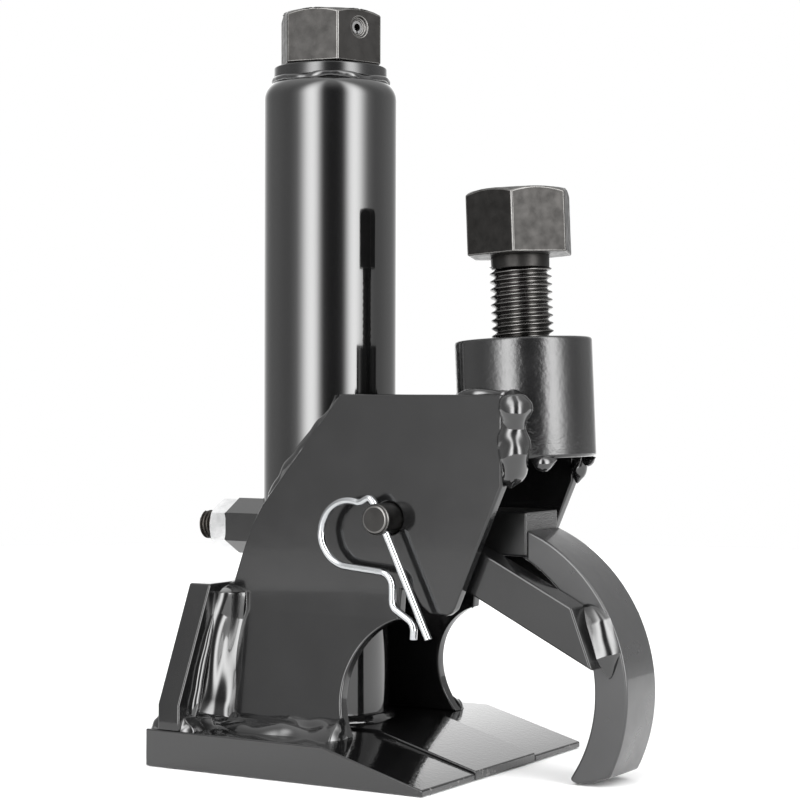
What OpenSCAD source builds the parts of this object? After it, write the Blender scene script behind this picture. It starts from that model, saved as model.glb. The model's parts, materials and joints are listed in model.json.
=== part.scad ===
// Bead breaker for truck tyres, driven by an impact wrench on its two hexes.
// X runs forward from the barrel to the hook, Y across the tool, Z up.
// The origin is on the floor, below the middle of the barrel.

/* [Barrel and ram] */
// Outside diameter of the barrel
barrel_d = 54; // [50:1:60]
// Wall thickness of the barrel
barrel_wall = 2.5; // [2:0.5:3]
// Height of the lower end of the barrel
barrel_z0 = 68; // [64:1:72]
// Height of the top of the rounded barrel cap
barrel_z1 = 273.5; // [270:0.5:280]
// Radius of the cap's shoulder
shoulder_r = 8; // [6:1:10]
// Wall thickness of the ram
ram_wall = 4.4; // [4:0.2:5]
// How far the ram pushes the tongue down
ram_travel = 70; // [40:5:70]

/* [Drive] */
// Width across the flats of both hexes
hex_af = 38; // [36:1:41]
// Height of the drive hex
drive_hex_h = 21.2; // [18:0.2:24]
// Turn of the drive hex about the barrel
drive_hex_turn = 10.4; // [0:0.2:60]
// Outside diameter of the drive screw's thread
screw_d = 30; // [28:1:32]

/* [Base] */
// Thickness of the base plate
base_t = 14.5; // [12:0.5:16]
// Width of the base plate
base_w = 129; // [124:1:134]
// Where the base plate ends behind the barrel
base_x0 = -44; // [-46:1:-43]
// Where the wedge-shaped lips start
wedge_x = 38.5; // [36:0.5:42]
// Where the lips end
lip_x = 82; // [80:1:84]
// Thickness of the lips at their tips
lip_t = 2.4; // [2:0.2:4]
// Width of the moving tongue between the lips
tongue_w = 48.6; // [46:0.2:49]

/* [Side plates] */
// Thickness of the side plates
plate_t = 5; // [4:0.5:6]
// Height of the top edge of the side plates
plate_top = 146; // [144:1:150]
// Height where the side plates bend outwards
bend_z = 60; // [58:1:62]
// Angle of the flared part from upright
flare_angle = 15.4; // [12:0.2:18]
// Radius of the throat
throat_r = 29; // [27:1:31]

/* [Clamp] */
// Diameter of the clamp screw's thread
clamp_d = 24; // [22:1:27]
// Lean of the clamp screw towards the barrel
clamp_lean = 2.5; // [0:0.5:5]
// Height of the threaded boss
boss_h = 46; // [40:1:50]
// Height of the clamp screw's head
clamp_head_h = 25; // [18:1:28]
// Turn of the clamp screw's head
clamp_head_turn = -8.5; // [-30:0.5:30]
// How far the clamp screw screws in
clamp_travel = 32; // [20:1:32]

/* [Hook] */
// Width of the claw and the lever
claw_w = 26; // [24:1:28]
// Thickness of each side arm
arm_t = 12; // [10:0.5:12.5]
// Width of a side arm, seen from the side
arm_h = 16.6; // [15:0.2:19]

/* [Pivot pin and clip] */
// Diameter of the pivot pin
pin_d = 12; // [11:0.5:12.5]
// Diameter of the clip's wire
wire_d = 3; // [2.5:0.1:3.2]

/* [Hidden] */

$fn = 96;
paint = "#17181a";
steel = "#3a3938";
zinc = "#c9ccce";
bronze = "#a87a3c";

// A shaft turns in its hole with this gap all round.
run_gap = 0.05;
// How far a cutting shape reaches past what it cuts.
past = 1;

barrel_r = barrel_d / 2;
bore_r = barrel_r - barrel_wall;
ram_r = bore_r - 0.1;
cap_bore_r = 10.05;
stub_r = cap_bore_r - run_gap;

slot_w = tongue_w + 1;
tongue_lift = 1;
// Gap behind the tongue and its weld, in the base plate's slot.
tongue_gap = 0.5;
slot_x0 = -27;

// The side plates touch the barrel on both sides.
plate_in = barrel_r;
plate_out = plate_in + plate_t;
plate_front_x = 97;
throat_x = 60.6;
throat_z = 32;
foot_out = plate_out + (bend_z - base_t) * tan(flare_angle);

heel_x1 = -27.8;
heel_t = 10.3;
heel_top = 70.5;

pin_x = 48;
pin_z = 98.5;
pin_r = pin_d / 2;
pin_tip_y = -43;
clip_y = -38.5;
// Direction of the clip's straight leg, as an angle from +X towards +Z.
clip_leg_angle = -64.5;

// The clamp screw's axis passes through this point at the boss's lower face.
boss_x = 90.9;
boss_z = 121.4;
boss_r = 26.6;
clamp_out = 32.3;
clamp_shank = boss_h + clamp_out;

lever_top = 101.5;
lever_x1 = 97.5;
lever_h = 17;
claw_outer = [74.2, 33.6, 65.3];
claw_inner = [70, 34.2, 56];

guide_z = 91;

module place_clamp() {
    translate([boss_x, 0, boss_z])
        rotate([0, -clamp_lean, 0])
            children();
}

// A bar across the tool: its outline is drawn in X and Z.
module across(y0, y1) {
    translate([0, y1, 0])
        rotate([90, 0, 0])
            linear_extrude(y1 - y0)
                children();
}

// A cylinder along Y.
module pin_along_y(r, y0, y1, x, z) {
    translate([x, y0, z])
        rotate([-90, 0, 0])
            cylinder(r = r, h = y1 - y0);
}

module hex_prism(af, h) {
    cylinder(r = af / sqrt(3), h = h, $fn = 6);
}

// A hex with its top corners turned off, and its lower ones if both is true.
module chamfered_hex(af, h, both = false) {
    corner_r = af / sqrt(3);
    face_r = af / 2;
    drop = (corner_r - face_r) * tan(30);
    intersection() {
        hex_prism(af, h);
        rotate_extrude()
            polygon([
                [0, 0],
                [both ? face_r : corner_r + past, 0],
                [corner_r + past, both ? drop + past * tan(30) : 0],
                [corner_r + past, h - drop - past * tan(30)],
                [face_r, h],
                [0, h]
            ]);
    }
}

// ---- Welded frame ----

module wedge_outline(top, x0) {
    polygon([
        [x0, 0],
        [x0, top],
        [wedge_x, top],
        [lip_x, lip_t + top - base_t],
        [lip_x, 0]
    ]);
}

module base_plate() {
    color(paint)
        difference() {
            across(-base_w / 2, base_w / 2)
                wedge_outline(base_t, base_x0);
            translate([slot_x0, -slot_w / 2, -past])
                cube([lip_x - slot_x0 + past, slot_w, base_t + 2 * past]);
        }
}

// An upright plate behind the barrel, wide at the base and narrow at the top.
module heel_plate() {
    full_z = 24.6;
    top_half = 44;
    color(paint)
        translate([heel_x1 - heel_t, 0, 0])
            rotate([90, 0, 90])
                linear_extrude(heel_t)
                    polygon([
                        [-base_w / 2, base_t],
                        [base_w / 2, base_t],
                        [base_w / 2, full_z],
                        [top_half, heel_top],
                        [-top_half, heel_top],
                        [-base_w / 2, full_z]
                    ]);
}

// Outline of a side plate, with a relief notch above the end of the bend.
module side_outline() {
    polygon([
        [heel_x1, base_t],
        [heel_x1, heel_top],
        [-25.2, heel_top],
        [-20.7, 83.3],
        [-16.6, 93.3],
        [-11.4, 101.9],
        [25.4, plate_top],
        [plate_front_x, plate_top],
        [plate_front_x, 112],
        [76.4, 64.5],
        [73.6, 62.3],
        [66, 62.6],
        [62.3, 65.5],
        [58.4, 71.5],
        [53.4, 71.5],
        [52.4, bend_z],
        [throat_x, throat_z],
        [throat_x, base_t]
    ]);
}

// The plate's section runs straight down, then flares out to the base.
module side_section() {
    inner_foot = foot_out - plate_t / cos(flare_angle);
    inner_bend = bend_z - plate_t * tan(flare_angle / 2);
    polygon([
        [-plate_out, plate_top + past],
        [-plate_out, bend_z],
        [-foot_out, base_t],
        [-inner_foot, base_t],
        [-plate_in, inner_bend],
        [-plate_in, plate_top + past]
    ]);
}

module side_plate() {
    difference() {
        intersection() {
            across(-base_w / 2, 0)
                side_outline();
            translate([heel_x1 - past, 0, 0])
                rotate([90, 0, 90])
                    linear_extrude(plate_front_x - heel_x1 + 2 * past)
                        side_section();
        }
        pin_along_y(throat_r, -base_w / 2, 0, throat_x, throat_z);
        pin_along_y(pin_r + run_gap, -base_w / 2, 0, pin_x, pin_z);
    }
}

module side_plate_front() {
    color(paint)
        side_plate();
}

module side_plate_rear() {
    color(paint)
        mirror([0, 1, 0])
            side_plate();
}

module barrel_tube() {
    color(paint)
        difference() {
            translate([0, 0, barrel_z0])
                cylinder(r = barrel_r, h = barrel_z1 - shoulder_r - barrel_z0);
            translate([0, 0, barrel_z0 - past])
                cylinder(r = bore_r, h = barrel_z1 - barrel_z0);
            translate([-barrel_r - past, 0, guide_z])
                rotate([0, 90, 0])
                    cylinder(r = 6, h = barrel_r);
        }
}

// The cap fills the barrel's end and carries the drive screw's thrust.
module barrel_cap() {
    spigot_h = 12;
    color(paint)
        translate([0, 0, barrel_z1 - shoulder_r - spigot_h])
            rotate_extrude() {
                translate([cap_bore_r, 0])
                    square([bore_r - cap_bore_r, spigot_h]);
                translate([cap_bore_r, spigot_h])
                    square([barrel_r - shoulder_r - cap_bore_r, shoulder_r]);
                intersection() {
                    translate([barrel_r - shoulder_r, spigot_h])
                        circle(r = shoulder_r);
                    translate([cap_bore_r, spigot_h])
                        square([barrel_r, shoulder_r]);
                }
            }
}

module thrust_ring() {
    ring_r = 23;
    ring_h = 5;
    color(paint)
        translate([0, 0, barrel_z1])
            difference() {
                cylinder(r = ring_r, h = ring_h);
                translate([0, 0, -past])
                    cylinder(r = cap_bore_r, h = ring_h + 2 * past);
            }
}

// Turns a piece that is drawn along +Z to point away from the barrel along -X.
module place_guide(x) {
    translate([x, 0, guide_z])
        rotate([0, -90, 0])
            children();
}

module guide_weld_nut() {
    color(paint)
        difference() {
            place_guide(-20)
                hex_prism(20, 25);
            translate([0, 0, guide_z - 20])
                cylinder(r = barrel_r, h = 40);
            place_guide(-20)
                cylinder(r = 6, h = 30);
        }
}

module guide_lock_nut() {
    color(zinc)
        place_guide(-45)
            difference() {
                chamfered_hex(19, 8.4, true);
                translate([0, 0, -past])
                    cylinder(r = 6, h = 12);
            }
}

// The stud's plain end rides in the ram's keyway, so the ram can't turn.
module guide_bolt() {
    color(steel)
        place_guide(0) {
            translate([0, 0, bore_r + 0.2])
                cylinder(r = 6, h = 61.8 - bore_r - 1.2);
            translate([0, 0, 60.8])
                cylinder(r1 = 6, r2 = 5, h = 1);
            translate([0, 0, ram_r - 2.5])
                cylinder(r = 4, h = 6);
        }
}

module clamp_boss() {
    color(paint)
        place_clamp()
            difference() {
                cylinder(r = boss_r, h = boss_h);
                translate([0, 0, -past])
                    cylinder(r = clamp_d / 2 + run_gap, h = boss_h + 2 * past);
            }
}

// Fillet welds between the flared plates and the base.
module base_welds() {
    leg = 6;
    color(paint)
        for (side = [0, 1])
            mirror([0, side, 0])
                translate([heel_x1, 0, 0])
                    rotate([90, 0, 90])
                        linear_extrude(62)
                            polygon([
                                [-foot_out, base_t],
                                [-foot_out - leg, base_t],
                                [-foot_out + leg * tan(flare_angle), base_t + leg]
                            ]);
}

// Welds in the corners behind the side plates, and along the back of the heel.
module heel_welds() {
    leg = 6;
    color(paint) {
        for (side = [0, 1])
            mirror([0, side, 0])
                intersection() {
                    translate([heel_x1, 0, base_t])
                        linear_extrude(heel_top - base_t)
                            polygon([
                                [0, -foot_out - leg],
                                [0, -plate_out],
                                [leg, -plate_out]
                            ]);
                    translate([heel_x1 - past, 0, 0])
                        rotate([90, 0, 90])
                            linear_extrude(20)
                                polygon([
                                    [-foot_out - leg, base_t + leg],
                                    [-foot_out + leg * tan(flare_angle), base_t + leg],
                                    [-plate_out, bend_z],
                                    [-plate_out, heel_top],
                                    [-plate_out - leg, heel_top]
                                ]);
                }
        translate([heel_x1 - heel_t, 0, base_t])
            across(-base_w / 2, base_w / 2)
                polygon([
                    [0, 0],
                    [-5.8, 0],
                    [0, 9]
                ]);
    }
}

// Heavy welds between the plates' front edges and the boss.
module boss_welds() {
    color(paint)
        for (side = [0, 1])
            mirror([0, side, 0])
                difference() {
                    translate([plate_front_x, -plate_out + 0.5, 114])
                        cube([9, 11, 33]);
                    place_clamp()
                        translate([0, 0, -20])
                            cylinder(r = boss_r, h = 80);
                    translate([plate_front_x + 4, -plate_out - past, 110])
                        rotate([0, 0, -45])
                            translate([0, -12, 0])
                                cube([12, 12, 40]);
                }
}

// Welds between the slanted rear edges of the side plates and the barrel.
module barrel_welds() {
    color(paint)
        for (side = [0, 1])
            mirror([0, side, 0])
                difference() {
                    intersection() {
                        across(-plate_out + 0.5, -12)
                            polygon([
                                [25.4, plate_top],
                                [-11.4, 101.9],
                                [-15.5, 104.5],
                                [20.8, plate_top + 1.5]
                            ]);
                        translate([0, 0, 95])
                            cylinder(r = barrel_r + 4.5, h = 55);
                    }
                    translate([0, 0, 90])
                        cylinder(r = barrel_r, h = 70);
                }
}

// ---- Drive screw ----

hex_z = 279.3;
pin_hole_z = 14;

module drive_hex() {
    color(steel)
        translate([0, 0, hex_z])
            difference() {
                rotate([0, 0, drive_hex_turn])
                    chamfered_hex(hex_af, drive_hex_h);
                translate([0, 0, -past])
                    cylinder(r = stub_r, h = drive_hex_h - 4);
                rotate([0, 0, drive_hex_turn])
                    drive_pin_hole();
            }
}

// The spring pin's cross hole, with a wider mouth on one face.
module drive_pin_hole() {
    rotate([0, 0, -30])
        translate([-30, 0, pin_hole_z])
            rotate([0, 90, 0])
                cylinder(r = 2.5, h = 60);
    rotate([0, 0, -30])
        translate([hex_af / 2 - 1.2, 0, pin_hole_z])
            rotate([0, 90, 0])
                cylinder(r = 4, h = 10);
}

module drive_hex_pin() {
    color(steel)
        translate([0, 0, hex_z + pin_hole_z])
            rotate([0, 0, drive_hex_turn - 30])
                rotate([0, 90, 0])
                    difference() {
                        translate([0, 0, -17.5])
                            cylinder(r = 2.5, h = 35);
                        translate([0, 0, -20])
                            cylinder(r = 1.5, h = 40);
                        translate([0, -0.3, -20])
                            cube([5, 0.6, 40]);
                    }
}

screw_z0 = 92;
flange_z1 = 250;
flange_h = 8;

module drive_screw() {
    color(steel)
        difference() {
            union() {
                translate([0, 0, screw_z0])
                    cylinder(r = screw_d / 2, h = flange_z1 - flange_h - screw_z0);
                translate([0, 0, flange_z1 - flange_h])
                    cylinder(r = 22, h = flange_h);
                translate([0, 0, flange_z1])
                    cylinder(r = stub_r, h = hex_z + drive_hex_h - 5.5 - flange_z1);
            }
            translate([0, 0, hex_z])
                rotate([0, 0, drive_hex_turn - 30])
                    translate([-30, 0, pin_hole_z])
                        rotate([0, 90, 0])
                            cylinder(r = 2.5, h = 60);
        }
}

module thrust_washer() {
    color(bronze)
        translate([0, 0, flange_z1 + run_gap])
            difference() {
                cylinder(r = 22, h = 3);
                translate([0, 0, -past])
                    cylinder(r = cap_bore_r, h = 5);
            }
}

// ---- Ram ----

ram_z0 = base_t + tongue_lift;
ram_z1 = 196;
ram_bore_r = ram_r - ram_wall;
nut_h = 32;

module ram_tube() {
    color(paint)
        difference() {
            translate([0, 0, ram_z0])
                cylinder(r = ram_r, h = ram_z1 - ram_z0);
            translate([0, 0, ram_z0 + 6])
                cylinder(r = ram_bore_r, h = ram_z1 - ram_z0);
            translate([-ram_r - past, -4.1, guide_z - 6])
                cube([past + 3, 8.2, ram_travel + 12]);
            ram_pin_holes(2.5);
        }
}

module ram_pin_holes(r) {
    for (turn = [60, 180, 300])
        translate([0, 0, ram_z1 - 10])
            rotate([0, 0, turn])
                translate([ram_bore_r - 3, 0, 0])
                    rotate([0, 90, 0])
                        cylinder(r = r, h = 3 + ram_wall - 0.3);
}

module ram_nut() {
    color(bronze)
        difference() {
            translate([0, 0, ram_z1 - nut_h])
                cylinder(r = ram_bore_r, h = nut_h);
            translate([0, 0, ram_z1 - nut_h - past])
                cylinder(r = screw_d / 2 + run_gap, h = nut_h + 2 * past);
            ram_pin_holes(2.5);
        }
}

module ram_nut_pins() {
    color(steel)
        ram_pin_holes(2.5);
}

// The weld is cut back to the tongue's outline, so it passes through the slot.
module ram_foot_weld() {
    color(paint)
        difference() {
            translate([0, 0, ram_z0])
                cylinder(r1 = 28, r2 = ram_r, h = 3.2);
            translate([0, 0, ram_z0 - past])
                cylinder(r = ram_r, h = 6);
            for (side = [0, 1])
                mirror([0, side, 0])
                    translate([-40, tongue_w / 2, ram_z0 - past])
                        cube([80, 20, 10]);
            translate([slot_x0 + tongue_gap - 10, -30, ram_z0 - past])
                cube([10, 60, 10]);
        }
}

module push_tongue() {
    color(paint)
        across(-tongue_w / 2, tongue_w / 2)
            wedge_outline(base_t + tongue_lift, slot_x0 + tongue_gap);
}

// ---- Clamp screw ----

tip_h = 3;
tip_gap = 0.3;

module clamp_bolt() {
    color(steel)
        place_clamp()
            difference() {
                union() {
                    translate([0, 0, tip_h + tip_gap + 1])
                        cylinder(r = clamp_d / 2, h = clamp_shank - tip_h - tip_gap - 5);
                    translate([0, 0, tip_h + tip_gap])
                        cylinder(r1 = clamp_d / 2 - 1, r2 = clamp_d / 2, h = 1);
                    translate([0, 0, clamp_shank - 4])
                        cylinder(r = clamp_d / 2 - 0.6, h = 4);
                    translate([0, 0, clamp_shank])
                        rotate([0, 0, clamp_head_turn])
                            chamfered_hex(hex_af, clamp_head_h);
                }
                cylinder(r = 5 + run_gap, h = 16 + run_gap);
            }
}

// A hard button in the screw's end. It presses on the hook and needn't turn.
module clamp_tip() {
    color(steel)
        place_clamp() {
            cylinder(r1 = 4, r2 = 9, h = tip_h);
            translate([0, 0, 1])
                cylinder(r = 5, h = 15);
        }
}

// ---- Hook ----

arm_y = claw_w / 2;
arm_slope = -26.7;
// How far the arm's middle line passes below the pivot.
arm_drop = 2.6;
// Lower corner of the arm's cut end, and the lean of that end from upright.
arm_end = [131, 44.4];
arm_end_lean = 20.5;

// The part of the plane between two circles that share a side.
module claw_outline() {
    difference() {
        intersection() {
            translate([claw_outer[0], claw_outer[1]])
                circle(r = claw_outer[2], $fn = 180);
            polygon([
                [claw_outer[0], claw_outer[1]],
                [86, 110],
                [150, 110],
                [150, 4.5],
                [132.4, 3.6],
                [124.6, 1.2],
                [119, 0.3],
                [116.4, 1],
                [115.9, 3]
            ]);
        }
        translate([claw_inner[0], claw_inner[1]])
            circle(r = claw_inner[2], $fn = 180);
    }
}

module hook_claw() {
    color(paint)
        difference() {
            across(-claw_w / 2, claw_w / 2)
                claw_outline();
            across(-claw_w, claw_w)
                lever_outline();
        }
}

// The lever reaches from the pivot to the clamp screw.
module lever_outline() {
    difference() {
        union() {
            translate([pin_x, lever_top - lever_h])
                square([lever_x1 - pin_x, lever_h]);
            translate([pin_x, pin_z])
                circle(r = 12);
        }
        translate([pin_x, pin_z])
            circle(r = pin_r + run_gap);
    }
}

module hook_lever() {
    color(paint)
        across(-claw_w / 2, claw_w / 2)
            lever_outline();
}

module arm_outline() {
    difference() {
        union() {
            translate([pin_x, pin_z])
                circle(r = 12);
            intersection() {
                translate([pin_x, pin_z])
                    rotate(arm_slope)
                        translate([0, -arm_h / 2 - arm_drop])
                            square([110, arm_h]);
                translate(arm_end)
                    rotate(arm_end_lean)
                        translate([-140, -40])
                            square([140, 140]);
            }
        }
        translate([pin_x, pin_z])
            circle(r = pin_r + run_gap);
    }
}

module hook_arm_front() {
    color(paint)
        across(-arm_y - arm_t, -arm_y)
            arm_outline();
}

module hook_arm_rear() {
    color(paint)
        across(arm_y, arm_y + arm_t)
            arm_outline();
}

// Welds in the corners between the arms' ends and the claw's sides.
module hook_welds() {
    leg = 5;
    color(paint)
        for (side = [0, 1])
            mirror([0, side, 0])
                translate([arm_end[0], -arm_y, arm_end[1]])
                    rotate([0, -arm_end_lean, 0])
                        translate([0, 0, 2])
                            linear_extrude(20)
                                polygon([
                                    [0, 0],
                                    [leg, 0],
                                    [0, -leg]
                                ]);
}

// ---- Pivot pin and clip ----

module pivot_pin() {
    head_r = 9;
    head_h = 4;
    chamfer = 1;
    color(steel)
        difference() {
            union() {
                pin_along_y(pin_r, pin_tip_y + chamfer, plate_out + 0.5, pin_x, pin_z);
                translate([pin_x, pin_tip_y, pin_z])
                    rotate([-90, 0, 0])
                        cylinder(r1 = pin_r - chamfer, r2 = pin_r, h = chamfer);
                pin_along_y(head_r, plate_out + 0.4, plate_out + 0.4 + head_h, pin_x, pin_z);
            }
            translate([pin_x, clip_y, pin_z])
                rotate([0, 90 - clip_leg_angle, 0])
                    translate([0, 0, -20])
                        cylinder(r = wire_d / 2 + run_gap, h = 40);
        }
}

// Points of a round stretch of wire, in X and Z.
function arc(x, z, r, a0, a1, steps) = [
    for (i = [0:steps])
        let (a = a0 + (a1 - a0) * i / steps)
            [x + r * cos(a), z + r * sin(a)]
];

leg_dir = [cos(clip_leg_angle), sin(clip_leg_angle)];
clip_route = concat(
    [for (along = [49.5, 30, 10, -4, -7])
        [pin_x + along * leg_dir[0], pin_z + along * leg_dir[1]]],
    arc(42.6, 104.1, 2.2, 30, 95, 3),
    arc(34, 92.4, 12.8, 68, 262, 18),
    arc(47.9, 72.8, 5.6, 80, 5, 6),
    arc(57.8, 67.6, 4.4, 190, 232, 3),
    arc(58.2, 56.7, 4.8, 56, -5, 5),
    [[62.8, 53.5]]
);

// A round wire swept along a flat route.
module flat_wire(route, r, sides) {
    n = len(route);
    rings = [for (i = [0:n - 1])
        let (
            before = route[max(i - 1, 0)],
            after = route[min(i + 1, n - 1)],
            run = after - before,
            normal = [-run[1], run[0]] / norm(run)
        )
            for (k = [0:sides - 1])
                let (a = 360 * k / sides, out = r * cos(a))
                    [route[i][0] + out * normal[0], r * sin(a), route[i][1] + out * normal[1]]
    ];
    skin = [for (i = [0:n - 2], k = [0:sides - 1])
        [i * sides + k, i * sides + (k + 1) % sides,
            (i + 1) * sides + (k + 1) % sides, (i + 1) * sides + k]
    ];
    start = [[for (k = [sides - 1:-1:0]) k]];
    end = [[for (k = [0:sides - 1]) (n - 1) * sides + k]];
    polyhedron(points = rings, faces = concat(skin, start, end), convexity = 6);
}

module r_clip() {
    color(zinc)
        translate([0, clip_y, 0])
            flat_wire(clip_route, wire_d / 2, 10);
}

base_plate();
heel_plate();
side_plate_front();
side_plate_rear();
barrel_tube();
barrel_cap();
thrust_ring();
guide_weld_nut();
guide_bolt();
guide_lock_nut();
clamp_boss();
base_welds();
heel_welds();
boss_welds();
barrel_welds();
drive_hex();
drive_hex_pin();
drive_screw();
thrust_washer();
ram_tube();
ram_nut();
ram_nut_pins();
ram_foot_weld();
push_tongue();
clamp_bolt();
clamp_tip();
hook_claw();
hook_lever();
hook_arm_front();
hook_arm_rear();
hook_welds();
pivot_pin();
r_clip();
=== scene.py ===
"""Looks of a tyre bead breaker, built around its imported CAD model.

Lengths in the tables below are millimetres in the CAD frame: X forward, Y across, Z up.
"""

import json
import math

import bmesh
import bpy
from mathutils import Matrix, Vector, noise


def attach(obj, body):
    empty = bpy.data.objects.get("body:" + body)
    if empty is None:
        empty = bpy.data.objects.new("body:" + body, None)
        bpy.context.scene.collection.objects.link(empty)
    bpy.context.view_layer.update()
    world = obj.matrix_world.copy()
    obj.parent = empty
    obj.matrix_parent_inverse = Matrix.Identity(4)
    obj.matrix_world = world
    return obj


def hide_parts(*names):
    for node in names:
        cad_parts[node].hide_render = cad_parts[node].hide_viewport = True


MM = 0.001

# Steel that shows through worn paint, and the steel of a sawn face, darkened as painted shade. How
# rough the paint's clear coat is.
BARE_STEEL = (0.14, 0.135, 0.13)
SAWN_STEEL_PAINTED_SHADE = (0.035, 0.035, 0.035)
COAT_ROUGHNESS = 0.04

# Steps along a bead in a corner and along a fat bead, and a thread's depth in pitches.
BEAD_STEP = 0.5
TUBE_STEP = 0.6
THREAD_DEPTH = 0.6

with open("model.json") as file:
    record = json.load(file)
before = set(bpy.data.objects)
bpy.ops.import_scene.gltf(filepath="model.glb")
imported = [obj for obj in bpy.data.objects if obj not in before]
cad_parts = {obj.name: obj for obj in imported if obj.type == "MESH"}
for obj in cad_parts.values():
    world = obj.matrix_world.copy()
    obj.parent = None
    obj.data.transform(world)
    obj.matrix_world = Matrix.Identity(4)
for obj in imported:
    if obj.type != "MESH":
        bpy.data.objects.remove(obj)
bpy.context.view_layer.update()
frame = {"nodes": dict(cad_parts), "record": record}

slot_of = {part["node"]: part["material_slot"] for part in frame["record"]["subparts"]}
body_of = {
    node: body
    for body, nodes in frame["record"]["behaviour"]["bodies"].items()
    for node in nodes
}

# ---- Driving sizes, in millimetres ----

BARREL_R = 27
BARREL_BORE_R = 24.5
BARREL_FOOT = 68
CAP_TOP = 273.5
CAP_PLUG = 12
CAP_BORE_R = 10.05
SHOULDER_R = 8
SHOULDER_Z = CAP_TOP - SHOULDER_R
RING_R = 23
RING_TOP = CAP_TOP + 5
BASE_TOP = 14.5
PLATE_OUT = 32
BEND_Z = 60
FLARE = math.radians(15.4)
FOOT_OUT = PLATE_OUT + (BEND_Z - BASE_TOP) * math.tan(FLARE)
HEEL_FRONT = -27.8
HEEL_BACK = -38.1
BOSS_AT = (90.9, 0, 121.4)
BOSS_R = 26.6
BOSS_H = 46
CLAMP_LEAN = math.radians(2.5)
CLAMP_R = 12
CLAMP_PITCH = 3
CLAMP_SHANK = 78.3
BOSS_BORE_R = CLAMP_R + 0.05
REAR_BOSS_WELD = 0.62
HEX_AF = 38
HEX_H = 25
HEX_TURN = math.radians(-8.5)
GUIDE_Z = 91
GUIDE_R = 6
GUIDE_PITCH = 1.75
ARM_LEAN = math.radians(20.5)
PIN_AT = (48, 98.5)
CLIP_Y = -38.5
CLIP_LEG_ANGLE = -64.5
WIRE_R = 1.5

clamp_place = (
    Matrix.Translation(Vector(BOSS_AT) * MM) @ Matrix.Rotation(-CLAMP_LEAN, 4, "Y")
)
guide_place = (
    Matrix.Translation(Vector((0, 0, GUIDE_Z)) * MM)
    @ Matrix.Rotation(-math.pi / 2, 4, "Y")
)


# ---- Materials ----


class Nodes:
    """Builds a material's node tree."""

    def __init__(self, name):
        self.material = bpy.data.materials.new(name)
        self.material.use_nodes = True
        self.tree = self.material.node_tree
        self.shader = self.tree.nodes["Principled BSDF"]
        self.place = self.tree.nodes.new("ShaderNodeTexCoord").outputs["Object"]

    def link(self, source, target):
        self.tree.links.new(source, target)

    def noise(self, scale, detail=3, stretch=(1, 1, 1)):
        mapping = self.tree.nodes.new("ShaderNodeMapping")
        mapping.inputs["Scale"].default_value = stretch
        texture = self.tree.nodes.new("ShaderNodeTexNoise")
        texture.inputs["Scale"].default_value = scale
        texture.inputs["Detail"].default_value = detail
        self.link(self.place, mapping.inputs["Vector"])
        self.link(mapping.outputs["Vector"], texture.inputs["Vector"])
        return texture.outputs["Fac"]

    def remap(self, value, low, high, out_low=0.0, out_high=1.0):
        node = self.tree.nodes.new("ShaderNodeMapRange")
        node.inputs["From Min"].default_value = low
        node.inputs["From Max"].default_value = high
        node.inputs["To Min"].default_value = out_low
        node.inputs["To Max"].default_value = out_high
        self.link(value, node.inputs["Value"])
        return node.outputs["Result"]

    def times(self, one, other):
        node = self.tree.nodes.new("ShaderNodeMath")
        node.operation = "MULTIPLY"
        self.link(one, node.inputs[0])
        self.link(other, node.inputs[1])
        return node.outputs["Value"]

    def along(self, axis):
        node = self.tree.nodes.new("ShaderNodeSeparateXYZ")
        self.link(self.place, node.inputs["Vector"])
        return node.outputs[axis]

    def mix(self, factor, colour, other):
        node = self.tree.nodes.new("ShaderNodeMix")
        node.data_type = "RGBA"
        self.link(factor, node.inputs["Factor"])
        for socket, value in ((node.inputs[6], colour), (node.inputs[7], other)):
            if isinstance(value, tuple):
                socket.default_value = (*value, 1)
            else:
                self.link(value, socket)
        return node.outputs[2]

    def bump(self, height, strength, distance, under=None):
        node = self.tree.nodes.new("ShaderNodeBump")
        node.inputs["Strength"].default_value = strength
        node.inputs["Distance"].default_value = distance * MM
        self.link(height, node.inputs["Height"])
        if under is not None:
            self.link(under, node.inputs["Normal"])
        return node.outputs["Normal"]


def paint(name, tone, roughness, peel, peel_scale=320, coat=0.6, worn_from=None, sawn_shaded_from=None):
    """Black paint with orange peel. It wears through past worn_from. Past the start of a sawn face
    it shows that sawn face with saw marks, its steel painted dark as painted shade. Both are in
    millimetres along X."""
    n = Nodes(name)
    dark = (tone * 0.7, tone * 0.7, tone * 0.72)
    light = (tone * 1.5, tone * 1.5, tone * 1.55)
    colour = n.mix(n.noise(45, 4), dark, light)
    rough = n.remap(n.noise(70, 3), 0.3, 0.7, roughness * 0.8, roughness * 1.35)
    normal = n.bump(n.noise(peel_scale, 2), peel, 0.12)
    if worn_from is not None:
        edge = n.remap(n.along("X"), worn_from * MM, (worn_from + 3) * MM)
        specks = n.remap(n.noise(420, 5), 0.6, 0.68)
        colour = n.mix(n.times(edge, specks), colour, BARE_STEEL)
    if sawn_shaded_from is not None:
        # The sawn face and its saw marks are real; its dark colour is painted shade.
        sawn_shaded = n.remap(n.along("X"), (sawn_shaded_from - 0.3) * MM, sawn_shaded_from * MM)
        marks = n.times(sawn_shaded, n.noise(900, 6, (1, 0.5, 2)))
        normal = n.bump(marks, 0.9, 0.5, normal)
        colour = n.mix(sawn_shaded, colour, SAWN_STEEL_PAINTED_SHADE)
    n.link(colour, n.shader.inputs["Base Color"])
    n.link(rough, n.shader.inputs["Roughness"])
    n.link(normal, n.shader.inputs["Normal"])
    n.shader.inputs["Coat Weight"].default_value = coat
    n.shader.inputs["Coat Roughness"].default_value = COAT_ROUGHNESS
    return n.material


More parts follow.
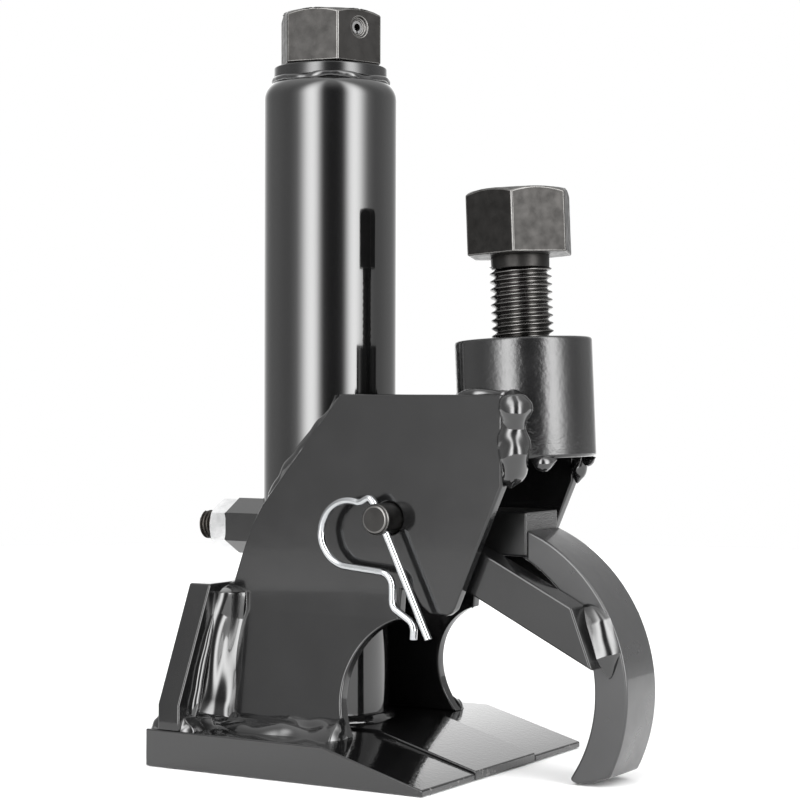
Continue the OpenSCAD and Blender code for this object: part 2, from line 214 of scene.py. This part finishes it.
def metal(name, colour, roughness, stretch=(1, 1, 1), grain=0.25, mottle=0.35):
    """Bare, oiled or plated metal with fine grain and mottling."""
    n = Nodes(name)
    dark = tuple(value * (1 - mottle) for value in colour)
    light = tuple(min(1, value * (1 + mottle)) for value in colour)
    n.link(n.mix(n.noise(160, 5), dark, light), n.shader.inputs["Base Color"])
    rough = n.remap(n.noise(260, 4), 0.3, 0.7, roughness * 0.8, roughness * 1.3)
    n.link(rough, n.shader.inputs["Roughness"])
    normal = n.bump(n.noise(1400, 4, stretch), grain, 0.06)
    n.link(normal, n.shader.inputs["Normal"])
    n.shader.inputs["Metallic"].default_value = 1
    return n.material


materials = {
    "frame_paint": paint("frame_paint", 0.005, 0.13, 0.05, coat=0.25),
    "weld_paint": paint("weld_paint", 0.005, 0.12, 0.06, 200, coat=0.8),
    "barrel_paint": paint("barrel_paint", 0.0025, 0.07, 0.02, 160, coat=0.8),
    "ram_paint": paint("ram_paint", 0.003, 0.10, 0.03, coat=0.6),
    "base_paint": paint("base_paint", 0.004, 0.08, 0.6, 620, worn_from=79.5, coat=0.6),
    "tongue_paint": paint("tongue_paint", 0.004, 0.08, 0.6, 620, worn_from=80, coat=0.6),
    "boss_paint": paint("boss_paint", 0.005, 0.16, 0.9, 520, coat=0.4),
    "hook_paint": paint("hook_paint", 0.018, 0.30, 0.22, 150, coat=0.5),
    # The lever's paint is darker than the rest as painted shade, for the shadow between the side
    # plates; its sawn end is in painted shade too.
    "lever_paint_painted_shade": paint("lever_paint_painted_shade", 0.003, 0.34, 0.22, 150, coat=0.05, sawn_shaded_from=97.3),
    "arm_paint": paint("arm_paint", 0.004, 0.18, 0.20, 240, coat=0.25),
    "bronze": metal("bronze", (0.55, 0.36, 0.16), 0.3),
    "guide_steel": metal("guide_steel", (0.06, 0.055, 0.05), 0.34),
    "zinc": metal("zinc", (0.74, 0.75, 0.76), 0.12, mottle=0.4),
    "clip_zinc": metal("clip_zinc", (0.42, 0.43, 0.44), 0.16, mottle=0.06),
    "drive_hex_steel": metal("drive_hex_steel", (0.030, 0.029, 0.028), 0.40, mottle=0.25),
    "spring_pin": metal("spring_pin", (0.20, 0.20, 0.20), 0.35),
    "screw_steel": metal("screw_steel", (0.14, 0.14, 0.14), 0.3),
    "pin_steel": metal("pin_steel", (0.32, 0.32, 0.32), 0.3),
    "clamp_bolt_steel": metal("clamp_bolt_steel", (0.027, 0.026, 0.025), 0.36, mottle=0.25),
    "tip_steel": metal("tip_steel", (0.32, 0.32, 0.32), 0.3),
    "pivot_steel": metal("pivot_steel", (0.035, 0.034, 0.033), 0.40),
}
thread_steel = metal("thread_steel", (0.10, 0.097, 0.094), 0.2, mottle=0.2)
worn_steel = metal("worn_steel", (0.13, 0.127, 0.123), 0.34)

for node, thing in frame["nodes"].items():
    for material_slot in thing.material_slots:
        material_slot.link = "OBJECT"
        material_slot.material = materials[slot_of[node]]


# ---- Mesh helpers ----


def add_piece(name, verts, faces, node, replaced=True, material=None, place=None, sharp=40):
    """Adds a mesh piece that rides with a CAD node's body, in that node's finish."""
    mesh = bpy.data.meshes.new(name)
    mesh.from_pydata([Vector(v) * MM for v in verts], [], faces)
    if place is not None:
        mesh.transform(place)
    bm = bmesh.new()
    bm.from_mesh(mesh)
    bmesh.ops.remove_doubles(bm, verts=bm.verts, dist=1e-6)
    bmesh.ops.recalc_face_normals(bm, faces=bm.faces)
    for face in bm.faces:
        face.smooth = True
    bm.to_mesh(mesh)
    bm.free()
    mesh.set_sharp_from_angle(angle=math.radians(sharp))
    piece = bpy.data.objects.new(name, mesh)
    bpy.context.scene.collection.objects.link(piece)
    mesh.materials.append(material or materials[slot_of[node]])
    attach(piece, body_of[node])
    if replaced:
        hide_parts(node)
    return piece


def round_edges(piece, radius, edge_material=None, limit=26, segments=3, clamp=False):
    if edge_material is not None:
        piece.data.materials.append(edge_material)
    bevel = piece.modifiers.new("rounded edges", "BEVEL")
    bevel.width = radius * MM
    bevel.segments = segments
    bevel.limit_method = "ANGLE"
    bevel.angle_limit = math.radians(limit)
    bevel.use_clamp_overlap = clamp
    if edge_material is not None:
        bevel.material = 1
    normals = piece.modifiers.new("even normals", "WEIGHTED_NORMAL")
    normals.keep_sharp = False


def softened(node, radius, edge_material=None, material=None, clamp=False):
    """A copy of a CAD node with its flat faces joined up and its edges rounded."""
    bm = bmesh.new()
    bm.from_mesh(frame["nodes"][node].data)
    bmesh.ops.remove_doubles(bm, verts=bm.verts, dist=1e-6)
    bmesh.ops.dissolve_limit(
        bm, angle_limit=math.radians(0.8), verts=bm.verts, edges=bm.edges
    )
    bm.verts.index_update()
    verts = [tuple(v.co / MM) for v in bm.verts]
    faces = [[v.index for v in face.verts] for face in bm.faces]
    bm.free()
    piece = add_piece(node + "_soft", verts, faces, node, material=material, sharp=180)
    round_edges(piece, radius, edge_material, clamp=clamp)
    return piece


def rounded(outline, radius, steps=4):
    """Rounds the corners of a closed outline of (radius, height) points."""
    result = []
    for i, corner in enumerate(outline):
        corner = Vector(corner)
        before = Vector(outline[i - 1]) - corner
        after = Vector(outline[(i + 1) % len(outline)]) - corner
        start = corner + before.normalized() * min(radius, before.length / 2)
        end = corner + after.normalized() * min(radius, after.length / 2)
        for step in range(steps + 1):
            t = step / steps
            result.append(start * (1 - t) ** 2 + corner * 2 * t * (1 - t) + end * t**2)
    return result


def lathe(name, outline, node, steps=144, wobble=0.0, **options):
    """Turns a closed outline of (radius, height) points about Z."""
    count = len(outline)
    verts = []
    for i in range(steps):
        turn = 2 * math.pi * i / steps
        for radius, height in outline:
            ripple = noise.noise(Vector((math.cos(turn) * 3, math.sin(turn) * 3, height / 9)))
            reach = radius + wobble * ripple
            verts.append((reach * math.cos(turn), reach * math.sin(turn), height))
    faces = [
        (i * count + k, ((i + 1) % steps) * count + k,
         ((i + 1) % steps) * count + (k + 1) % count, i * count + (k + 1) % count)
        for i in range(steps)
        for k in range(count)
    ]
    return add_piece(name, verts, faces, node, **options)


def skin(rings, closed=False):
    """Faces over a row of rings with the same number of points each."""
    size = len(rings[0])
    faces = []
    for i in range(len(rings) if closed else len(rings) - 1):
        here = i * size
        there = ((i + 1) % len(rings)) * size
        for k in range(size):
            after = (k + 1) % size
            faces.append((here + k, here + after, there + after, there + k))
    if not closed:
        faces.append(tuple(range(size)))
        faces.append(tuple(range((len(rings) - 1) * size, len(rings) * size)))
    return faces


def walk(stations, step):
    """Steps evenly along stations, each a list of Vectors and numbers that starts with a point."""
    lengths = [(b[0] - a[0]).length for a, b in zip(stations, stations[1:])]
    total = sum(lengths)
    count = max(3, round(total / step))
    for i in range(count + 1):
        along = total * i / count
        rest = along
        leg = 0
        while leg < len(lengths) - 1 and rest > lengths[leg]:
            rest -= lengths[leg]
            leg += 1
        t = min(1, rest / lengths[leg])
        ease = t * t * (3 - 2 * t)
        station = []
        for a, b in zip(stations[leg], stations[leg + 1]):
            share = t if isinstance(a, Vector) else ease
            station.append(a * (1 - share) + b * share)
        yield along, total, station


def fillet(name, stations, node, seed, lump=0.25, flow=13, taper=5, bulge=0.6, **options):
    """A weld bead in a corner. A station is (corner point, way along one side, way along the
    other side, width). Its lumps are about flow long."""
    arc_steps = 16
    rings = []
    for along, total, (point, way_a, way_b, width) in walk(stations, BEAD_STEP):
        end = min(1, math.sqrt(max(0.02, min(along, total - along) / taper)))
        ring = [point - (way_a + way_b) * 0.4]
        for k in range(arc_steps + 1):
            t = math.pi / 2 * k / arc_steps
            chord = 1 / (math.cos(t) + math.sin(t))
            shape = chord + (1 - chord) * bulge
            swell = lump * noise.noise(Vector((along / flow, t * 1.3, seed + 0.5)))
            reach = width * end * shape * (1 + swell)
            ring.append(point + way_a * reach * math.cos(t) + way_b * reach * math.sin(t))
        rings.append(ring)
    verts = [p for ring in rings for p in ring]
    return add_piece(name, verts, skin(rings), node, sharp=70, **options)


def lumpy_tube(name, stations, node, seed, lump=0.15, closed=False, taper=3, **options):
    """A fat weld bead. A station is (point on its middle line, radius)."""
    around = 24
    walked = list(walk(stations, TUBE_STEP))
    if closed:
        walked = walked[:-1]
    rings = []
    for i, (along, total, (point, radius)) in enumerate(walked):
        before = walked[i - 1 if closed else max(i - 1, 0)][2][0]
        after = walked[(i + 1) % len(walked) if closed else min(i + 1, len(walked) - 1)][2][0]
        run = (after - before).normalized()
        side = run.cross(Vector((0.31, 0.87, 0.38))).normalized()
        up = side.cross(run)
        end = 1 if closed else math.sqrt(max(0.03, min(1, min(along, total - along) / taper)))
        ring = []
        for k in range(around):
            turn = 2 * math.pi * k / around
            way = side * math.cos(turn) + up * math.sin(turn)
            swell = lump * noise.noise((point + way * radius) / 6.5 + Vector((seed, 0.5, 0)))
            ring.append(point + way * radius * end * (1 + swell))
        rings.append(ring)
    verts = [p for ring in rings for p in ring]
    return add_piece(name, verts, skin(rings, closed), node, sharp=80, **options)


def thread(name, radius, pitch, z0, z1, node, **options):
    """A screw thread along Z, whose crest follows the mesh."""
    around = 72
    depth = [0, 0, 0.34, 0.72, 1, 1, 0.72, 0.34]
    rows = len(depth)
    count = math.ceil((z1 - z0) / pitch + 2) * rows
    core = radius - pitch * THREAD_DEPTH
    rings = []
    for j in range(count):
        ring = []
        for i in range(around):
            height = z0 + (j / rows + i / around - 1) * pitch
            reach = radius - depth[j % rows] * pitch * THREAD_DEPTH
            if height <= z0 or height >= z1:
                height = min(max(height, z0), z1)
                reach = core
            turn = 2 * math.pi * i / around
            ring.append(Vector((reach * math.cos(turn), reach * math.sin(turn), height)))
        rings.append(ring)
    verts = [p for ring in rings for p in ring]
    faces = []
    for j in range(count - 1):
        for i in range(around):
            low = j * around + i
            if i < around - 1:
                faces.append((low, low + 1, low + 1 + around, low + around))
            elif j + 1 + rows < count:
                first = (j + rows) * around
                faces.append((low, first, first + around, low + around))
    faces.append(tuple(range(around)))
    faces.append(tuple(range((count - 1) * around, count * around)))
    return add_piece(name, verts, faces, node, sharp=75, **options)


def hex_head(name, across_flats, height, base_z, turn, node, **options):
    """A hex head whose top corners are turned off at 30 degrees."""
    per_side = 12
    flat_r = across_flats / 2
    bottom = []
    shoulder = []
    crown = []
    for i in range(6 * per_side):
        angle = math.pi / 3 * (i / per_side)
        within = angle % (math.pi / 3) - math.pi / 6
        reach = flat_r / math.cos(within)
        way = Vector((math.cos(angle + turn), math.sin(angle + turn), 0))
        drop = (reach - flat_r) * math.tan(math.radians(30)) + 0.05
        bottom.append(way * reach + Vector((0, 0, base_z)))
        shoulder.append(way * reach + Vector((0, 0, base_z + height - drop)))
        crown.append(way * (flat_r - 0.3) + Vector((0, 0, base_z + height)))
    rings = [bottom, shoulder, crown]
    verts = [p for ring in rings for p in ring]
    return add_piece(name, verts, skin(rings), node, sharp=180, **options)


def mirrored(way, side):
    return Vector((way[0], way[1] * side, way[2]))


def smooth_route(points, rounds=2):
    """Cuts the corners of an open route, and keeps its ends."""
    for _ in range(rounds):
        cut = [points[0]]
        for a, b in zip(points, points[1:]):
            cut.append(a * 0.75 + b * 0.25)
            cut.append(a * 0.25 + b * 0.75)
        cut.append(points[-1])
        points = cut
    return points


def turn_of_wire(x, z, radius, start, end, steps):
    """Points on an arc in the XZ plane, from start to end degrees."""
    angles = [math.radians(start + (end - start) * i / steps) for i in range(steps + 1)]
    return [(x + radius * math.cos(a), z + radius * math.sin(a)) for a in angles]


# ---- Frame: plates, barrel, boss, guide stud ----


def plates():
    softened("base_plate", 0.6)
    softened("heel_plate", 0.8)
    softened("side_plate_front", 0.9)
    softened("side_plate_rear", 0.9)


def barrel():
    """The barrel tube, and its cap with a rounded shoulder."""
    lathe("barrel_tube_smooth", [
        (BARREL_R, BARREL_FOOT), (BARREL_R, SHOULDER_Z),
        (BARREL_BORE_R, SHOULDER_Z), (BARREL_BORE_R, BARREL_FOOT)
    ], "barrel_tube")
    shoulder = [
        (BARREL_R - SHOULDER_R + SHOULDER_R * math.cos(math.radians(a)),
         SHOULDER_Z + SHOULDER_R * math.sin(math.radians(a)))
        for a in range(0, 91, 6)
    ]
    lathe("barrel_cap_smooth", [
        (CAP_BORE_R, SHOULDER_Z - CAP_PLUG), (BARREL_BORE_R, SHOULDER_Z - CAP_PLUG),
        (BARREL_BORE_R, SHOULDER_Z), *shoulder, (CAP_BORE_R, CAP_TOP)
    ], "barrel_cap")


def thrust_ring():
    """The ring on the cap, with a wavy bead round its foot."""
    lathe("thrust_ring_smooth", rounded([
        (CAP_BORE_R, CAP_TOP), (RING_R, CAP_TOP), (RING_R, RING_TOP), (CAP_BORE_R, RING_TOP)
    ], 0.7), "thrust_ring")
    sunk = 0.6
    bead_r = RING_R - sunk
    bead = []
    for i in range(73):
        a = 2 * math.pi * i / 72
        height = CAP_TOP - sunk + 0.5 * math.sin(5 * a)
        bead.append([Vector((bead_r * math.cos(a), bead_r * math.sin(a), height)), 1.5])
    lumpy_tube("cap_ring_weld", bead, "thrust_ring", 3, 0.5, closed=True, replaced=False,
               material=materials["weld_paint"])


def clamp_boss():
    outline = rounded([
        (BOSS_BORE_R, 0), (BOSS_R, 0), (BOSS_R, BOSS_H), (BOSS_BORE_R, BOSS_H)
    ], 1.4)
    lathe("clamp_boss_smooth", outline, "clamp_boss", place=clamp_place, wobble=0.12)


def guide_stud():
    """The weld nut, and the guide bolt with its thread and dog point."""
    softened("guide_weld_nut", 0.4, clamp=True)
    thread("guide_bolt_thread", GUIDE_R, GUIDE_PITCH, 24.7, 61.4, "guide_bolt", place=guide_place)
    lathe("guide_bolt_dog", rounded([(0.01, 21.9), (4, 21.9), (4, 26), (0.01, 26)], 0.4),
          "guide_bolt", steps=48, replaced=False, place=guide_place)


# ---- Weld beads: side is 1 at the front and -1 at the rear ----


def base_weld(side, end):
    """The bead along the foot of a side plate."""
    way_out = mirrored((0, -1, 0), side)
    way_up = mirrored((0, math.sin(FLARE), math.cos(FLARE)), side)
    foot = [
        [mirrored((x, -FOOT_OUT, BASE_TOP), side), way_out, way_up, width]
        for x, width in ((-29, 8.5), (-20, 6.4), (0, 6.8), (18, 6.0), (29, 6.6), (37, 7.8))
    ]
    fillet(f"base_weld_{end}", foot, "base_welds", 11 * side, replaced=side > 0, lump=0.34,
           taper=3, bulge=0.75)


def heel_welds(side, end):
    """The beads where a side plate meets the heel plate: at its toe, up its edge, and a ridge."""
    toe = [
        [mirrored((HEEL_FRONT, y, BASE_TOP), side), Vector((1, 0, 0)), Vector((0, 0, 1)), width]
        for y, width in ((-63.5, 4.5), (-56, 6.0), (-FOOT_OUT, 8.0))
    ]
    fillet(f"heel_toe_weld_{end}", toe, "heel_welds", 17 * side, replaced=False, taper=2)

    out_flare = (0, -math.cos(FLARE), math.sin(FLARE))
    heel = []
    for z, width in ((15, 12), (24, 9.6), (40, 8.8), (56, 9.4), (69.5, 9.0)):
        low = min(z, BEND_Z)
        y = -FOOT_OUT + (low - BASE_TOP) * math.tan(FLARE)
        outward = out_flare if z < BEND_Z else (0, -1, 0)
        heel.append([
            mirrored((HEEL_FRONT, y, z), side), mirrored(outward, side),
            Vector((1, 0, 0)), width
        ])
    fillet(f"heel_weld_{end}", heel, "heel_welds", 23 * side, replaced=side > 0,
           lump=0.34, flow=28, taper=3, bulge=0.4)

    ridge_x = HEEL_FRONT + 0.4
    ridge = [
        [mirrored((ridge_x, -FOOT_OUT - 12, 16), side), 2.6],
        [mirrored((ridge_x, -FOOT_OUT - 6, 38), side), 2.0],
        [mirrored((ridge_x, -PLATE_OUT - 9.5, 60), side), 1.4],
    ]
    lumpy_tube(f"heel_ridge_{end}", ridge, "heel_welds", 31 * side, replaced=False, taper=9)


def boss_welds(side, end):
    """The fat bead beside the boss, the small one under it, and the one on the plate's top edge."""
    size = 1 if side > 0 else REAR_BOSS_WELD
    fat = [
        [mirrored((99.2, -28.0, 148), side), 4.4 * size],
        [mirrored((100.4, -28.6, 141), side), 6.4 * size],
        [mirrored((99.8, -28.2, 133), side), 5.2 * size],
        [mirrored((100.6, -28.8, 125), side), 6.1 * size],
        [mirrored((99.4, -28.0, 117), side), 5.2 * size],
        [mirrored((98.4, -28.0, 111), side), 2.8 * size],
    ]
    lumpy_tube(f"boss_weld_{end}", fat, "boss_welds", 41 * side, 0.24, replaced=side > 0)

    drip = [
        [mirrored((103.5, -21.5, 122), side), 1.6 * size],
        [mirrored((107.5, -19.4, 120.2), side), 3.4 * size],
        [mirrored((112, -16.5, 121.8), side), 1.5 * size],
    ]
    lumpy_tube(f"boss_low_weld_{end}", drip, "boss_welds", 43 * side, 0.2, replaced=False)

    top_bead = [
        [mirrored((x, -27.5, 146.2), side), radius]
        for x, radius in ((76, 1.2), (84, 2.2), (92, 1.8), (98, 2.4))
    ]
    lumpy_tube(f"boss_top_weld_{end}", top_bead, "boss_welds", 47 * side, 0.4, replaced=False)


def barrel_weld(side, end):
    """The slanting bead between the barrel and a side plate's edge."""
    slant = [
        [mirrored((x, y, z), side), radius]
        for x, y, z, radius in (
            (24.5, -25.4, 145.6, 2.0), (13, -27.6, 131.8, 3.1),
            (0, -28.8, 116.4, 3.0), (-11, -27.6, 103.2, 1.9))
    ]
    lumpy_tube(f"barrel_weld_{end}", slant, "barrel_welds", 53 * side, 0.3, replaced=side > 0)


def hook_weld(side, end):
    """The bead at the cut end of a hook arm."""
    along_cut = Vector((-math.sin(ARM_LEAN), 0, math.cos(ARM_LEAN)))
    off_cut = Vector((math.cos(ARM_LEAN), 0, math.sin(ARM_LEAN)))
    corner = mirrored((131, -13, 44.4), side)
    cut = [
        [corner + along_cut * reach, off_cut * spread, mirrored((0, -1, 0), side), width]
        for reach, width, spread in ((-4, 4.0, 1.4), (4, 5.0, 1.5), (12, 4.6, 1.7), (25, 4.6, 1.8))
    ]
    fillet(f"hook_weld_{end}", cut, "hook_welds", 61 * side, replaced=side > 0, lump=0.14,
           taper=8, bulge=0.7)


def heel_back_weld():
    """The bead behind the heel plate, across the base."""
    back = [
        [Vector((HEEL_BACK, y, BASE_TOP)), Vector((-0.75, 0, 0)), Vector((0, 0, 1)), 6.8]
        for y in (-64, -20, 20, 64)
    ]
    fillet("heel_back_weld", back, "heel_welds", 7, replaced=False, taper=1.5)


def ram_foot_welds():
    """The beads round the foot of the ram, in front and at the back."""
    for place, start, bead in (("front", -50, 3.0), ("back", 130, 1.7)):
        arc = []
        for i in range(13):
            a = math.radians(start + 100 * i / 12)
            way = Vector((math.cos(a), math.sin(a), 0))
            arc.append([way * 24.4 + Vector((0, 0, 15.5)), way, Vector((0, 0, 1)), bead])
        fillet(f"ram_foot_weld_{place}", arc, "ram_foot_weld", 71, replaced=place == "front",
               taper=3)


# ---- Moving parts ----


def ram():
    softened("push_tongue", 0.5)
    softened("ram_tube", 0.4)


def screws():
    """The drive hex, and the clamp bolt with its tip, thread, neck and head."""
    softened("drive_hex", 0.55, worn_steel)
    softened("clamp_tip", 0.3)
    thread("clamp_bolt_thread", CLAMP_R, CLAMP_PITCH, 3.5, CLAMP_SHANK - 4, "clamp_bolt",
           material=thread_steel, place=clamp_place)
    lathe("clamp_bolt_neck", rounded([
        (0.01, CLAMP_SHANK - 5), (11.2, CLAMP_SHANK - 5), (11.4, CLAMP_SHANK + 0.2),
        (0.01, CLAMP_SHANK + 0.2)
    ], 0.4), "clamp_bolt", replaced=False, place=clamp_place)
    head = hex_head("clamp_bolt_head", HEX_AF, HEX_H, CLAMP_SHANK, HEX_TURN, "clamp_bolt",
                    replaced=False, place=clamp_place)
    round_edges(head, 0.6, worn_steel, limit=22)


def hook():
    softened("hook_claw", 1.0)
    # The lever takes the darker paint, which is painted shade.
    softened("hook_lever", 0.9, material=materials["lever_paint_painted_shade"])
    softened("hook_arm_front", 0.9)
    softened("hook_arm_rear", 0.9)


def clip():
    """The R clip: a straight leg through the pin, a round belly, a waist and a kicked-out end."""
    leg = math.radians(CLIP_LEG_ANGLE)
    wire = [
        (PIN_AT[0] + reach * math.cos(leg), PIN_AT[1] + reach * math.sin(leg))
        for reach in (49.5, 30, 10, -4, -7)
    ]
    wire += turn_of_wire(42.6, 104.1, 2.2, 30, 95, 3)
    wire += turn_of_wire(34, 92.4, 12.8, 68, 262, 18)
    wire += turn_of_wire(47.9, 72.8, 5.6, 80, 5, 6)
    wire += turn_of_wire(57.8, 67.6, 4.4, 190, 232, 3)
    wire += turn_of_wire(58.2, 56.7, 4.8, 56, -5, 5)
    wire += [(62.8, 53.5)]

    around = 20
    level = Vector((0, 1, 0))
    route = smooth_route([Vector((x, CLIP_Y, z)) for x, z in wire])
    rings = []
    for i, point in enumerate(route):
        run = (route[min(i + 1, len(route) - 1)] - route[max(i - 1, 0)]).normalized()
        across = run.cross(level)
        ring = []
        for k in range(around):
            turn = 2 * math.pi * k / around
            ring.append(point + (across * math.cos(turn) + level * math.sin(turn)) * WIRE_R)
        rings.append(ring)
    add_piece("r_clip_wire", [p for ring in rings for p in ring], skin(rings), "r_clip", sharp=60)


plates()
barrel()
thrust_ring()
clamp_boss()
guide_stud()
for side, end in ((1, "front"), (-1, "rear")):
    base_weld(side, end)
    heel_welds(side, end)
    boss_welds(side, end)
    barrel_weld(side, end)
    hook_weld(side, end)
heel_back_weld()
ram_foot_welds()
ram()
screws()
hook()
softened("pivot_pin", 0.4, worn_steel)
clip()


# ---- Studio, in metres ----

FLOOR_R = 1.2
FLOOR_GAP = 0.0003
LENS = 95.76
CAMERA_AT = (0.47319, -0.72845, 0.14631)
CAMERA_TURN = math.radians(31.117)
CAMERA_TILT = math.radians(90 - 0.173)
CAMERA_ROLL = math.radians(0.133)

# The light comes from the room: two soft strips beside a dark gap, a paler wall all round, and
# a dim ceiling. The strips are alike on both sides of the gap. A glow is (angle from the gap,
# brightness).
GAP_AZIMUTH = math.radians(-52)
PEAK = 11
CEILING = 1.4
EVERYWHERE = 0.05
GLOWS = ((0, 0.04), (14, 0.06), (21, 1.5), (29, 9), (38, 11), (47, 8.5), (56, 3.2), (65, 1),
         (80, 0.5), (105, 0.6), (125, 0.4), (148, 0.4), (165, 1.3), (180, 1.6))


def pale_floor():
    """A round white floor just under the tool."""
    mesh = bpy.data.meshes.new("floor")
    bm = bmesh.new()
    bmesh.ops.create_circle(bm, cap_ends=True, radius=FLOOR_R, segments=96)
    bm.to_mesh(mesh)
    bm.free()
    floor = bpy.data.objects.new("floor", mesh)
    floor.location.z = -FLOOR_GAP
    bpy.context.scene.collection.objects.link(floor)
    n = Nodes("floor_white")
    colour = n.mix(n.noise(3), (0.86, 0.86, 0.86), (0.88, 0.88, 0.88))
    n.link(colour, n.shader.inputs["Base Color"])
    n.shader.inputs["Roughness"].default_value = 0.9
    mesh.materials.append(n.material)


def calculated(tree, operation, *values):
    """A math node in tree, fed with numbers and sockets."""
    node = tree.nodes.new("ShaderNodeMath")
    node.operation = operation
    for socket, value in zip(node.inputs, values):
        if isinstance(value, (int, float)):
            socket.default_value = value
        else:
            tree.links.new(value, socket)
    return node.outputs["Value"]


def brightness_of_room(tree):
    """How bright the room is each way: the glows level all round, fading to the ceiling."""
    way = tree.nodes.new("ShaderNodeSeparateXYZ")
    place = tree.nodes.new("ShaderNodeTexCoord").outputs["Generated"]
    tree.links.new(place, way.inputs["Vector"])
    azimuth = calculated(tree, "ARCTAN2", way.outputs["Y"], way.outputs["X"])
    off_gap = calculated(tree, "SUBTRACT", azimuth, GAP_AZIMUTH)
    from_gap = calculated(tree, "ABSOLUTE", calculated(tree, "WRAP", off_gap, math.pi, -math.pi))

    ramp = tree.nodes.new("ShaderNodeValToRGB")
    ramp.color_ramp.interpolation = "B_SPLINE"
    stops = ramp.color_ramp.elements
    while len(stops) < len(GLOWS):
        stops.new(0.5)
    for stop, (angle, brightness) in zip(stops, GLOWS):
        stop.position = angle / 180
        stop.color = (brightness / PEAK, brightness / PEAK, brightness / PEAK, 1)
    tree.links.new(calculated(tree, "DIVIDE", from_gap, math.pi), ramp.inputs["Fac"])

    overhead = calculated(tree, "POWER", calculated(tree, "MAXIMUM", way.outputs["Z"], 0), 3)
    glow = calculated(tree, "MULTIPLY", ramp.outputs["Color"], PEAK)
    walls = calculated(tree, "MULTIPLY", glow, calculated(tree, "SUBTRACT", 1, overhead))
    ceiling = calculated(tree, "MULTIPLY", overhead, CEILING)
    return calculated(tree, "ADD", calculated(tree, "ADD", walls, ceiling), EVERYWHERE)


def studio_light():
    """Lights the tool from the room, which the camera itself sees as plain white."""
    world = bpy.data.worlds.new("studio")
    world.use_nodes = True
    bpy.context.scene.world = world
    tree = world.node_tree
    room = tree.nodes["Background"]
    room.inputs["Color"].default_value = (1, 1, 1, 1)
    tree.links.new(brightness_of_room(tree), room.inputs["Strength"])
    backdrop = tree.nodes.new("ShaderNodeBackground")
    backdrop.inputs["Color"].default_value = (1, 1, 1, 1)
    backdrop.inputs["Strength"].default_value = 1
    ray = tree.nodes.new("ShaderNodeLightPath")
    either = tree.nodes.new("ShaderNodeMixShader")
    tree.links.new(ray.outputs["Is Camera Ray"], either.inputs["Fac"])
    tree.links.new(room.outputs["Background"], either.inputs[1])
    tree.links.new(backdrop.outputs["Background"], either.inputs[2])
    tree.links.new(either.outputs["Shader"], tree.nodes["World Output"].inputs["Surface"])


def studio_camera():
    data = bpy.data.cameras.new("camera")
    data.sensor_width = 36
    data.lens = LENS
    camera = bpy.data.objects.new("camera", data)
    camera.matrix_world = (
        Matrix.Translation(CAMERA_AT)
        @ Matrix.Rotation(CAMERA_TURN, 4, "Z")
        @ Matrix.Rotation(CAMERA_TILT, 4, "X")
        @ Matrix.Rotation(CAMERA_ROLL, 4, "Z")
    )
    bpy.context.scene.collection.objects.link(camera)
    bpy.context.scene.camera = camera


pale_floor()
studio_light()
bpy.context.scene.view_settings.view_transform = "Standard"
studio_camera()

bpy.context.view_layer.update()
